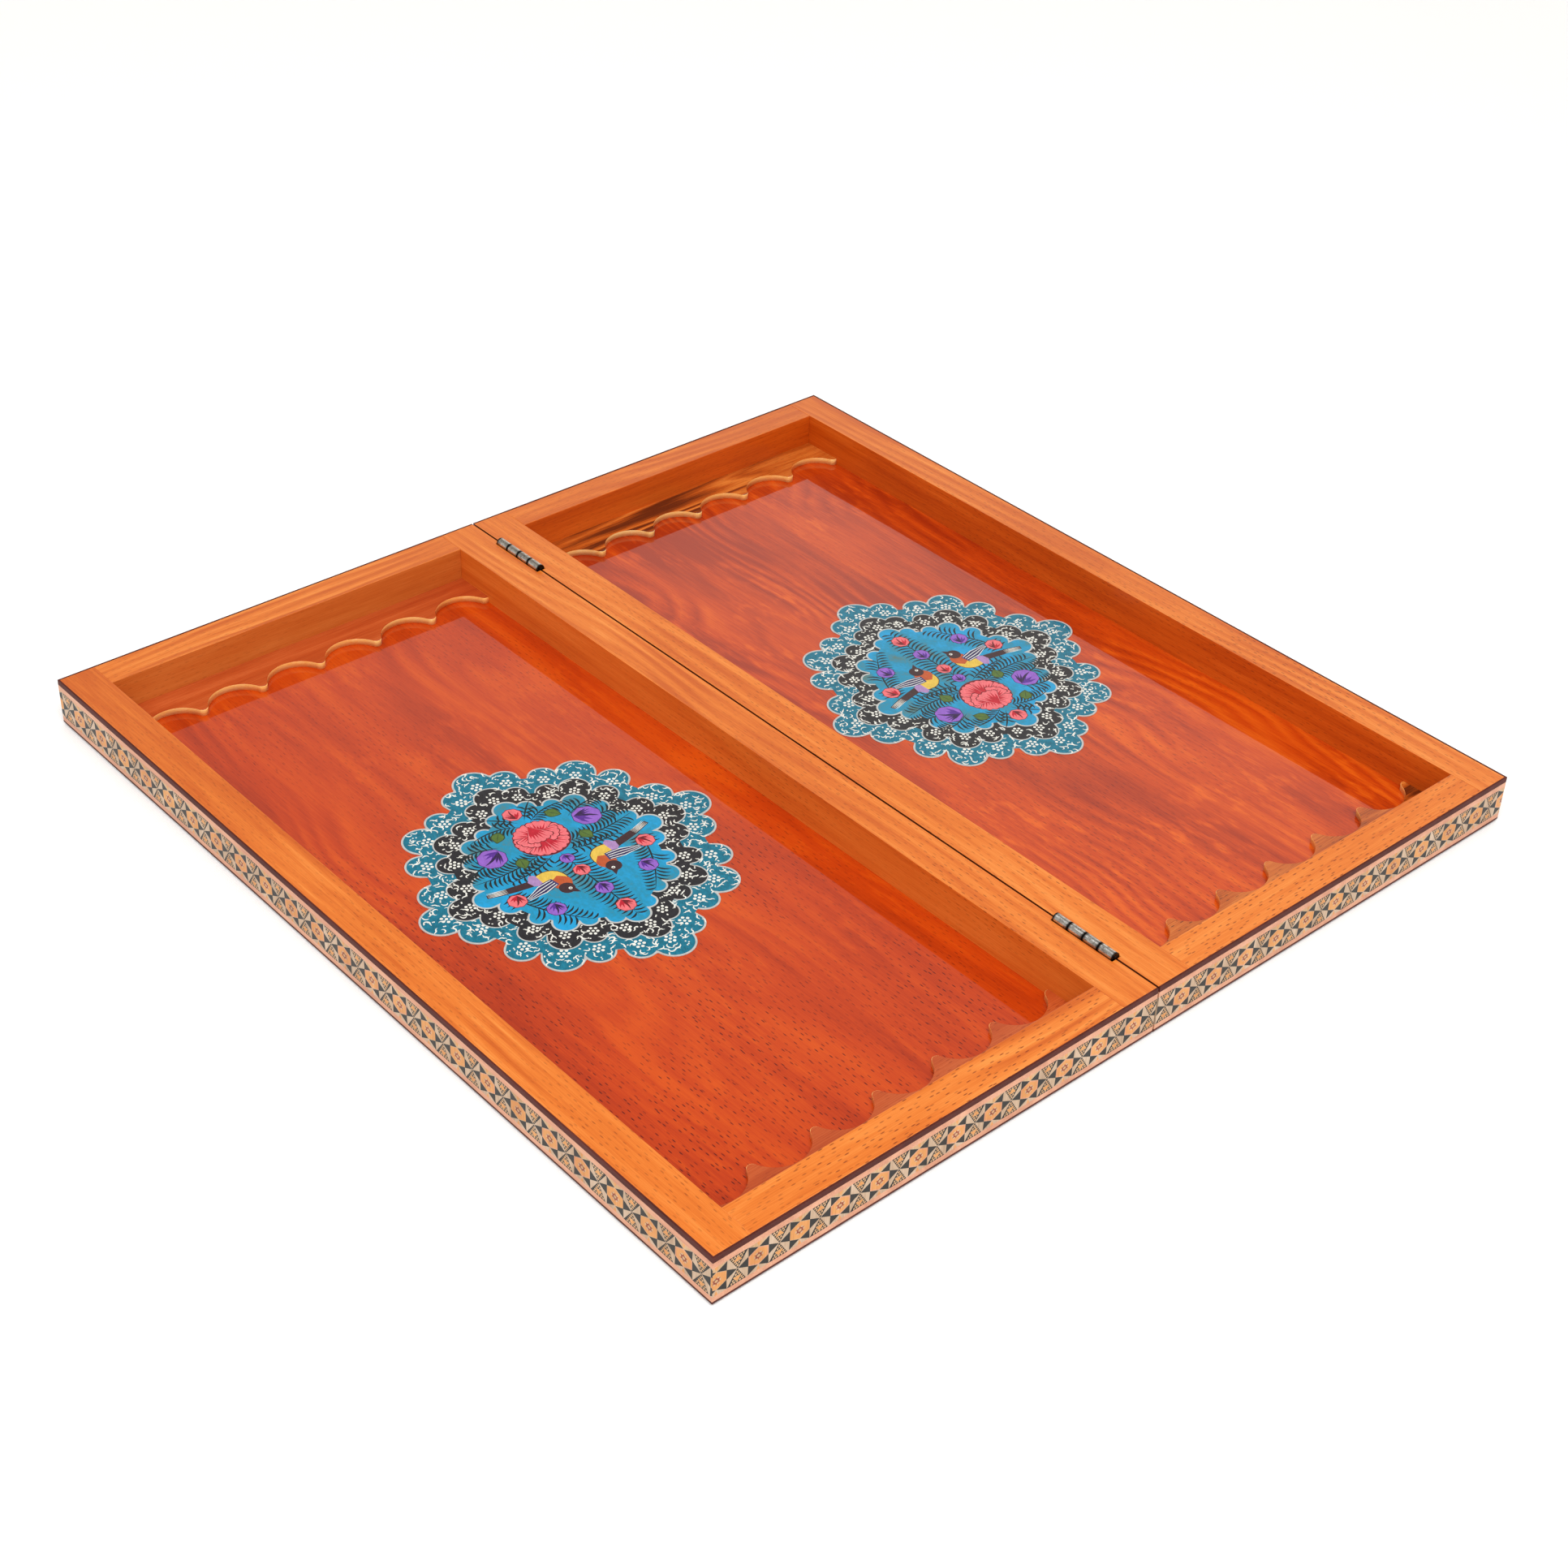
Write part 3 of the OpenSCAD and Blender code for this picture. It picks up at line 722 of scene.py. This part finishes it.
LOBES = [(0.000, 0.880, 0.125), (0.165, 0.810, 0.095), (0.365, 0.705, 0.092),
         (0.545, 0.625, 0.120), (0.680, 0.445, 0.098), (0.770, 0.185, 0.110),
         (0.875, 0.000, 0.125)]
CONTOUR_STEPS = 620
BLACK_SCALE = 0.815
BLUE_SCALE = 0.655
RIM_MM = 0.95
GROUND_MARGIN = 1.0
BORDER_TRIES = 2600
PAINTS = {
    "rim": paint("medallion_rim", rgb(206, 208, 206)),
    "teal": paint("medallion_teal", rgb(0, 122, 150), 0.3),
    "black": paint("medallion_black", rgb(34, 34, 42), 0.3),
    "blue": ground_paint(),
    "white": paint("medallion_white", rgb(255, 255, 246)),
    "wine": paint("medallion_wine", rgb(112, 6, 30)),
    "pink": paint("medallion_pink", rgb(255, 122, 130)),
    "red": paint("medallion_red", rgb(206, 16, 48)),
    "violet": paint("medallion_violet", rgb(158, 104, 214)),
    "lilac": paint("medallion_lilac", rgb(186, 146, 204)),
    "plum": paint("medallion_plum", rgb(92, 40, 156)),
    "indigo": paint("medallion_indigo", rgb(44, 14, 74)),
    "olive": paint("medallion_olive", rgb(88, 120, 48)),
    "moss": paint("medallion_moss", rgb(44, 74, 40)),
    "fern": paint("medallion_fern", rgb(4, 30, 36)),
    "yellow": paint("medallion_yellow", rgb(246, 206, 84)),
    "orange": paint("medallion_orange", rgb(206, 92, 44)),
    "umber": paint("medallion_umber", rgb(64, 34, 42)),
    "slate": paint("medallion_slate", rgb(58, 62, 118)),
}


# stems of one side of the painting: start, bend and end, pairs of leaflets, their reach
FRONDS = [
    ((6, -13), (24, -7), (46, -12), 17, 8.2), ((3, -35), (14, -43), (30, -38), 12, 7.4),
    ((22, -20), (36, -22), (46, -16), 10, 6.6), ((20, -28), (34, -35), (43, -30), 10, 6.6),
    ((38, 2), (35, 22), (17, 42), 18, 8.6), ((4, -8), (16, -2), (32, -3), 9, 5.6),
    ((2, -38), (8, -46), (14, -50), 6, 5.0),
]
ROSE_TONES = ("pink", "red", "wine")
VIOLET_TONES = ("violet", "plum", "indigo")


# a bird on the right of the middle stem, as curves from its tail to its head
BIRD_TAIL = ((46, -2.0), (35, 1.8), (22, 3.6))
BIRD_BODY = ((25, 3.6), (10.5, 0.5), (13.5, 14.5))
BIRD_WING = ((15.0, 8.5), (22, 9.5), (33, 12.0))


class Medallion:
    """A lobed painting: two patterned borders round a blue ground of flowers and birds."""

    def __init__(self, rx, ry, seed):
        self.rx, self.ry = rx, ry
        self.rng = random.Random(seed)
        reach = (rx + ry) / 2
        self.circles = [(sx * x * rx, sy * y * ry, r * reach) for x, y, r in LOBES
                        for sx in (-1, 1) for sy in (-1, 1)]
        self.core = sorted(((x, y) for x, y, _ in self.circles),
                           key=lambda p: math.atan2(p[1], p[0]))
        self.sheet = Sheet(self.contour(1.0, 0.0), "rim")

    def reach(self, angle, scale, inset):
        """Distance from the centre to the contour in one direction."""
        dx, dy = math.cos(angle), math.sin(angle)
        far = 0.0
        for x, y, r in self.circles:
            x, y, r = x * scale, y * scale, r * scale - inset
            along = x * dx + y * dy
            gap = r * r - (x * x + y * y - along * along)
            if gap > 0 and along > 0:
                far = max(far, along + math.sqrt(gap))
        for (x0, y0), (x1, y1) in zip(self.core, self.core[1:] + self.core[:1]):
            slope = dx * (y1 - y0) - dy * (x1 - x0)
            if abs(slope) > 1e-9:
                share = (x0 * dy - y0 * dx) / slope
                hit = (x0 * (y1 - y0) - y0 * (x1 - x0)) / slope
                if -1e-9 <= share <= 1 + 1e-9 and hit > 0:
                    far = max(far, scale * hit)
        return far

    def contour(self, scale, inset):
        """The scalloped outline at one scale, drawn in by inset mm."""
        angles = [math.tau * i / CONTOUR_STEPS for i in range(CONTOUR_STEPS)]
        return [(self.reach(a, scale, inset) * math.cos(a),
                 self.reach(a, scale, inset) * math.sin(a)) for a in angles]

    def add(self, points, colour):
        self.sheet.add(points, colour)

    def blossom_dots(self, x, y, size):
        """Six dots round a seventh."""
        self.add(disc(x, y, 0.27 * size, 7), "white")
        start = self.rng.random()
        for k in range(6):
            a = start + math.tau * k / 6
            self.add(disc(x + 0.76 * size * math.cos(a), y + 0.76 * size * math.sin(a),
                          0.28 * size, 8), "white")

    def squiggle(self, x, y):
        """A short curled vine stroke."""
        a = self.rng.random() * math.tau
        turn = self.rng.choice((-1, 1)) * self.rng.uniform(0.5, 0.95)
        path = []
        for _ in range(7):
            path.append((x, y))
            x += 0.78 * math.cos(a)
            y += 0.78 * math.sin(a)
            a += turn
            turn *= -1 if self.rng.random() < 0.3 else 0.85
        self.add(ribbon(path, 0.74), "white")

    def border(self, outer, inner, spacing, blossoms):
        """Fills the band between two contours with dot blossoms and vine strokes."""
        placed = []
        for x, y, r in self.circles:
            share = (outer + inner) / 2 / 0.985
            px, py = x * share * 1.05, y * share * 1.05
            if all(math.hypot(px - qx, py - qy) > 2.1 * blossoms for qx, qy, _ in placed):
                placed.append((px, py, blossoms * 1.25))
                self.blossom_dots(px, py, blossoms)
        for _ in range(BORDER_TRIES):
            a = self.rng.random() * math.tau
            low = self.reach(a, inner, 0) + 1.6
            high = self.reach(a, outer, RIM_MM) - 1.5
            if high <= low:
                continue
            d = self.rng.uniform(low, high)
            x, y = d * math.cos(a), d * math.sin(a)
            if all(math.hypot(x - qx, y - qy) > keep + spacing / 2 for qx, qy, keep in placed):
                placed.append((x, y, spacing / 2))
                if self.rng.random() < 0.30:
                    for _ in range(2):
                        self.add(disc(x + self.rng.uniform(-0.8, 0.8),
                                      y + self.rng.uniform(-0.8, 0.8), 0.42, 7), "white")
                else:
                    self.squiggle(x - 0.8, y - 0.8)

    def brushed(self, x, y, angle, spread_by, long, short, strokes, colour):
        """Shading drawn as brush strokes that fan out from one point."""
        tips = [(x, y)]
        for k in range(2 * strokes + 1):
            a = angle + spread_by * (k / strokes - 1)
            r = (long if k % 2 else short) * self.rng.uniform(0.82, 1.1)
            tips.append((x + r * math.cos(a), y + r * math.sin(a)))
        self.add(tips, colour)

    def petal(self, x, y, angle, length, spread_by, scallops, tones):
        """A fan-shaped petal with a scalloped lip, shaded from its foot."""
        steps = scallops * 4

        def fan(reach, half):
            lip = []
            for i in range(steps + 1):
                t = 2 * i / steps - 1
                r = reach * (0.91 + 0.06 * abs(math.sin(math.pi * scallops * i / steps))
                             + 0.04 * (1 - t * t))
                a = angle + half * t
                lip.append((x + r * math.cos(a), y + r * math.sin(a)))
            return [(x, y)] + lip
        fill, shade, line = tones
        self.add(fan(length, spread_by), line)
        self.add(fan(length - 0.5, spread_by - 0.4 / length), fill)
        self.brushed(x, y, angle, 0.86 * spread_by, 0.84 * length, 0.50 * length, 6, shade)

    def rose(self, x, y, r):
        """A full round bloom: a ring of back petals, then cupped ones in front of them."""
        self.add(disc(x, y, r * 0.97, 44), "wine")
        for turn in (-150, 150, -90, 90, -30, 30):
            self.petal(x, y - 0.04 * r, math.radians(90 + turn), r * 0.98, 0.57, 4, ROSE_TONES)
        for turn in (-52, 52):
            self.petal(x, y - 0.42 * r, math.radians(90 + turn), r * 0.86, 0.60, 4, ROSE_TONES)
        self.petal(x, y - 0.80 * r, math.radians(90), r * 0.98, 0.62, 5, ROSE_TONES)

    def bloom(self, x, y, angle, r, tones):
        """A small round flower, darker towards its foot, with one fold across it."""
        fill, shade, line = tones

        def lip(reach):
            steps = 40
            return [(x + reach * (1 + 0.035 * math.cos(8 * math.tau * i / steps))
                     * math.cos(math.tau * i / steps),
                     y + reach * (1 + 0.035 * math.cos(8 * math.tau * i / steps))
                     * math.sin(math.tau * i / steps)) for i in range(steps)]
        ux, uy = math.cos(angle), math.sin(angle)
        self.add(lip(r + 0.35), line)
        self.add(lip(r), fill)
        foot = (x - 0.93 * r * ux, y - 0.93 * r * uy)
        self.brushed(*foot, angle, 0.85, 1.35 * r, 0.75 * r, 5, shade)
        self.brushed(*foot, angle + 0.55, 0.28, 1.5 * r, 0.7 * r, 3, line)
        fold = [(foot[0] + 0.2 * r * ux, foot[1] + 0.2 * r * uy),
                (x - 0.22 * r * uy, y + 0.22 * r * ux),
                (x + 0.85 * r * ux + 0.1 * r * uy, y + 0.85 * r * uy - 0.1 * r * ux)]
        self.add(ribbon([bezier(*fold, i / 8) for i in range(9)], 0.16 * r + 0.25), line)

    def leaf(self, x, y, angle, length, width, fill="olive", line="moss"):
        def blade(scale):
            side = []
            for i in range(9):
                t = i / 8
                side.append((t - 0.5, math.sin(math.pi * t ** 0.85) * 0.5))
            shape = side + [(u, -v) for u, v in side[-2:0:-1]]
            return [(x + scale * (u * length * math.cos(angle) - v * width * math.sin(angle)),
                     y + scale * (u * length * math.sin(angle) + v * width * math.cos(angle)))
                    for u, v in shape]
        self.add(blade(1.0), line)
        self.add(blade(0.84), fill)
        half = 0.36 * length
        self.add(ribbon([(x - half * math.cos(angle), y - half * math.sin(angle)), (x, y),
                         (x + half * math.cos(angle), y + half * math.sin(angle))], 0.4), line)

    def on_ground(self, x, y):
        """Whether a point lies inside the blue ground."""
        edge = self.reach(math.atan2(y, x), BLUE_SCALE, RIM_MM)
        return math.hypot(x, y) < edge - GROUND_MARGIN

    def frond(self, a, b, c, pairs, reach):
        """A stem with drooping leaflets on both sides, longest near its middle."""
        self.add(ribbon([bezier(a, b, c, i / 12) for i in range(13)], 0.9), "fern")
        for i in range(1, pairs + 1):
            t = i / (pairs + 0.6)
            x, y = bezier(a, b, c, t)
            x1, y1 = bezier(a, b, c, min(1.0, t + 0.03))
            way = math.atan2(y1 - y, x1 - x)
            length = reach * (0.50 + 0.50 * math.sin(math.pi * min(1, 0.15 + 0.85 * t)))
            for s in (-1, 1):
                out, tip = way + s * 0.75, way + s * 1.75
                mx = x + 0.60 * length * math.cos(out)
                my = y + 0.60 * length * math.sin(out)
                ex = mx + 0.55 * length * math.cos(tip)
                ey = my + 0.55 * length * math.sin(tip)
                if self.on_ground(ex, ey):
                    path = [bezier((x, y), (mx, my), (ex, ey), k / 5) for k in range(6)]
                    self.add(ribbon(path, 1.15), "fern")

    def swept(self, s, curve, start, end, left, right, colour, steps=12):
        """A shape swept along part of a curve; left and right give its half widths there."""
        sides = ([], [])
        for i in range(steps + 1):
            t = start + (end - start) * i / steps
            x, y = bezier(*curve, t)
            x1, y1 = bezier(*curve, t + 0.01)
            length = math.hypot(x1 - x, y1 - y)
            nx, ny = -(y1 - y) / length, (x1 - x) / length
            sides[0].append((s * (x + nx * left(i / steps)), y + ny * left(i / steps)))
            sides[1].append((s * (x - nx * right(i / steps)), y - ny * right(i / steps)))
        self.add(sides[0] + sides[1][::-1], colour)

    def bird(self, s):
        """A songbird beside the middle stem, with its head to it; s says which side."""
        def near(t, *values):
            place = t * (len(values) - 1)
            i = min(int(place), len(values) - 2)
            return values[i] + (values[i + 1] - values[i]) * (place - i)

        def plump(grow):
            return lambda t: near(t, 2.2, 3.0, 4.6, 5.4, 4.8, 3.6) + grow
        tail, body, wing = BIRD_TAIL, BIRD_BODY, BIRD_WING
        self.swept(s, tail, 0, 1, lambda t: near(t, 0.5, 2.0, 2.4),
                   lambda t: near(t, 2.0, 2.3, 2.4), "umber")
        for k in (-2, -1, 0, 1, 2):
            self.swept(s, tail, 0.02, 0.42, lambda t, k=k: 0.72 * k + near(t, 0.05, 0.24, 0.05),
                       lambda t, k=k: -0.72 * k + near(t, 0.05, 0.24, 0.05), "white", 5)
        self.swept(s, body, 0, 1, plump(0.35), plump(0.35), "umber")
        self.swept(s, body, 0, 1, plump(-0.1), plump(-0.1), "yellow")
        self.swept(s, body, 0, 0.20, plump(-0.1), plump(-0.1), "lilac", 6)
        self.swept(s, body, 0.62, 1, plump(-0.1), plump(-0.1), "orange", 6)
        hx, hy = bezier(*body, 1.0)
        self.add(disc(s * hx, hy + 1.2, 3.9, 18), "umber")
        self.add([(s * (hx - 3.0), hy + 3.2), (s * (hx - 3.4), hy + 7.4), (s * hx, hy + 4.6)],
                 "umber")
        self.add(disc(s * (hx - 1.1), hy + 2.2, 0.95, 8), "white")
        self.add(disc(s * (hx - 1.2), hy + 2.3, 0.42, 7), "umber")
        self.swept(s, wing, 0, 1, lambda t: near(t, 2.7, 3.4, 2.4, 0.4),
                   lambda t: near(t, 2.7, 3.4, 2.4, 0.4), "slate")
        for k in range(-3, 4):
            self.swept(s, wing, 0.06, 0.97,
                       lambda t, k=k: near(t, 0.2, 0.24, 0.1) + k * near(t, 0.72, 0.92, 0.3),
                       lambda t, k=k: near(t, 0.2, 0.24, 0.1) - k * near(t, 0.72, 0.92, 0.3),
                       "white" if k % 2 else "indigo", 6)

    def painting(self):
        """Flowers and birds on the ground, drawn upright."""
        for s in (-1, 1):
            for a, b, c, pairs, reach in FRONDS:
                self.frond((s * a[0], a[1]), (s * b[0], b[1]), (s * c[0], c[1]), pairs, reach)
        self.frond((0, -8), (0, 20), (0, 51), 22, 10.0)
        for s in (-1, 1):
            self.leaf(s * 16, -34.5, math.radians(90 - s * 40), 9.0, 7.0)
            self.leaf(s * 18.5, -11.5, math.radians(90 - s * 15), 9.0, 7.0)
            self.bloom(s * 27.5, -23, math.radians(90 - s * 60), 6.9, VIOLET_TONES)
            self.bloom(s * 37, 9.5, math.radians(90 - s * 30), 4.4, ROSE_TONES)
            self.bloom(s * 26.5, 25, math.radians(90 - s * 20), 4.5, VIOLET_TONES)
            self.bird(s)
        self.rose(0, -21.5, 14.2)
        self.bloom(0, -2.0, math.pi / 2, 3.4, VIOLET_TONES)
        self.bloom(0, 9, math.pi / 2, 3.9, ROSE_TONES)
        self.bloom(0, 26, math.pi / 2, 4.2, VIOLET_TONES)
        self.bloom(0, 42, math.pi / 2, 4.5, ROSE_TONES)
        self.bloom(0, -45, -math.pi / 2, 4.5, ROSE_TONES)

    def build(self):
        self.add(self.contour(1.0, RIM_MM), "teal")
        self.border(1.0, BLACK_SCALE, 2.2, 3.0)
        self.add(self.contour(BLACK_SCALE, 0.0), "rim")
        self.add(self.contour(BLACK_SCALE, RIM_MM * 0.75), "black")
        self.border(BLACK_SCALE, BLUE_SCALE, 2.2, 2.8)
        self.add(self.contour(BLUE_SCALE, 0.0), "rim")
        self.add(self.contour(BLUE_SCALE, RIM_MM), "blue")
        self.painting()
        return self.sheet


for side, s in HALVES.items():
    node = side + "_medallion"
    lo, hi = box_mm(node)
    mid = (lo + hi) / 2
    art = Medallion((hi.x - lo.x) / 2, (hi.y - lo.y) / 2, 7 + s)

    def lay(u, v, back, s=s, mid=mid, lo=lo, hi=hi):
        return Vector((mid.x + s * u, mid.y + s * v, lo.z if back else hi.z))
    settle(slab_from(art.build(), node + "_painting", lay, PAINTS), side + "_half",
           [node])


# ---- hinges ----

for end in ("front", "rear"):
    for part, body, mat in (("left_leaf", "left_half", STEEL), ("right_leaf", "right_half", STEEL),
                            ("pin", "left_half", PIN_STEEL)):
        node = f"{end}_hinge_{part}"
        settle(softened(node, node + "_worn", [mat], 0.22), body, [node])
for side in HALVES:
    node = side + "_hinge_screws"
    settle(softened(node, node + "_worn", [STEEL], 0.1), side + "_half", [node])


# ---- CAD nodes that stay, with their materials ----

def repaint(node, material):
    """Gives a CAD node that stays visible its finished material."""
    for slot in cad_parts[node].material_slots:
        slot.material = material


for side in HALVES:
    repaint(side + "_field_panel", FIELD_LEFT if side == "left" else FIELD_RIGHT)
    repaint(side + "_back_panel", BACK)
    repaint(side + "_corner_dowels", DOWEL)
    for part in ("upper_edging", "outer_lower_edging", "front_lower_edging",
                 "rear_lower_edging"):
        repaint(f"{side}_{part}", DARK_STRIP)
    for part in ("upper_stringing", "lower_stringing"):
        repaint(f"{side}_{part}", PALE_STRIP)


# ---- floor, light and camera ----

FLOOR_HALF = 4000.0
bm = bmesh.new()
corners = [(-1, -1), (1, -1), (1, 1), (-1, 1)]
bm.faces.new([bm.verts.new((FLOOR_HALF * x, FLOOR_HALF * y, 0)) for x, y in corners])
cloth, g, shader = surface("white_cloth", Roughness=0.9)
threads = [g.add("ShaderNodeTexWave", {
    "Vector": g.coords(1.6, 1.6, 1), "Scale": 0.5, "Distortion": 0.6},
    bands_direction=way).outputs["Fac"] for way in "XY"]
weave = g.math("MULTIPLY", *threads)
g.link(g.ramp(weave, [(0.0, (0.90, 0.90, 0.90, 1)), (1.0, (0.97, 0.97, 0.97, 1))]),
       shader, "Base Color")
g.link(g.bump(weave, 0.2, 0.2), shader, "Normal")
new_object("floor", bm, [cloth])

world = bpy.data.worlds.new("studio")
bpy.context.scene.world = world
world.use_nodes = True
sky = Graph(world.node_tree)
background = world.node_tree.nodes["Background"]
direction = sky.add("ShaderNodeTexCoord").outputs["Generated"]
aim = sky.add("ShaderNodeSeparateXYZ", {"Vector": direction}).outputs
shade = sky.ramp(aim["Z"], [(0.0, (0.85, 0.85, 0.85, 1)), (0.47, (1.02, 0.96, 0.86, 1)),
                            (0.56, (0.84, 0.78, 0.68, 1)), (0.64, (0.56, 0.51, 0.44, 1)),
                            (0.80, (0.14, 0.13, 0.12, 1))])
drop = sky.fade(aim["X"], 0.36, 0.60, 0.60, 1.0)
lit = sky.math("MAXIMUM", drop, sky.fade(aim["Z"], 0.0, 0.25, 1.0, 0.0))
shade = sky.mix(lit, (0, 0, 0, 1), shade)
sky.link(shade, background, "Color")
background.inputs["Strength"].default_value = 1.0


def broad_light(name, toward, strength, spread_deg):
    """A wide soft light from one direction, as bright over the whole floor."""
    light = bpy.data.lights.new(name, "SUN")
    light.energy = strength
    light.angle = math.radians(spread_deg)
    obj = bpy.data.objects.new(name, light)
    obj.rotation_euler = Vector(toward).to_track_quat("Z", "Y").to_euler()
    obj.location = Vector(toward) * 3
    bpy.context.scene.collection.objects.link(obj)


broad_light("overhead", (-0.16, -0.14, 0.97), 2.0, 80)

NEAR_WATTS = 25.0
NEAR_SIZE = 1.4
NEAR_PLACE = (-0.8, -1.0, 1.7)
near_light = bpy.data.lights.new("near_softbox", "AREA")
near_light.energy = NEAR_WATTS
near_light.size = NEAR_SIZE
near_box = bpy.data.objects.new("near_softbox", near_light)
near_box.location = NEAR_PLACE
near_box.rotation_euler = near_box.location.to_track_quat("Z", "Y").to_euler()
bpy.context.scene.collection.objects.link(near_box)

azimuth, elevation, roll = (math.radians(v) for v in (AZIMUTH, ELEVATION, ROLL))
back = Vector((math.sin(azimuth) * math.cos(elevation),
               -math.cos(azimuth) * math.cos(elevation), math.sin(elevation)))
right = Vector((0, 0, 1)).cross(back).normalized()
up = back.cross(right)
right, up = (math.cos(roll) * right + math.sin(roll) * up,
             math.cos(roll) * up - math.sin(roll) * right)
camera = bpy.data.objects.new("camera", bpy.data.cameras.new("camera"))
camera.data.sensor_width = SENSOR_MM
camera.data.lens = LENS_MM
camera.data.clip_start = 0.01
axes = Matrix((right, up, back)).transposed()
camera.matrix_world = Matrix.Translation(TARGET + back * DISTANCE) @ axes.to_4x4()
bpy.context.scene.collection.objects.link(camera)
bpy.context.scene.camera = camera
bpy.context.scene.view_settings.view_transform = "Standard"
bpy.context.scene.view_settings.look = "None"
